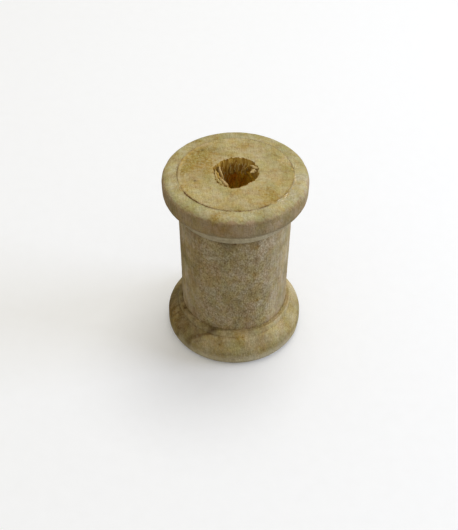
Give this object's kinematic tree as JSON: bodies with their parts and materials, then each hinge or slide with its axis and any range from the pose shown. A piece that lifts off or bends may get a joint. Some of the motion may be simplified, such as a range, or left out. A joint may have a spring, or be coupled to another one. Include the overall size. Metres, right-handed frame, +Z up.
{
  "type": "thread spool",
  "caption": "Empty built-up wooden thread spool: a bored dowel core with a moulded flange ring glued round each end.",
  "frame": {"origin": "centre of the lower end face, on the bore's axis", "axes": "+Z up along the bore's axis; the part is round, so X and Y are free"},
  "size_m": [0.022, 0.022, 0.031],
  "materials": {
    "core_wood": "bare end grain and long grain, unfinished, slightly rough",
    "flange_wood": "bare, lightly tumbled smooth on the rims"
  },
  "bodies": {
    "root": {"core": "core_wood", "upper_flange": "flange_wood", "lower_flange": "flange_wood"}
  },
  "joints": []
}
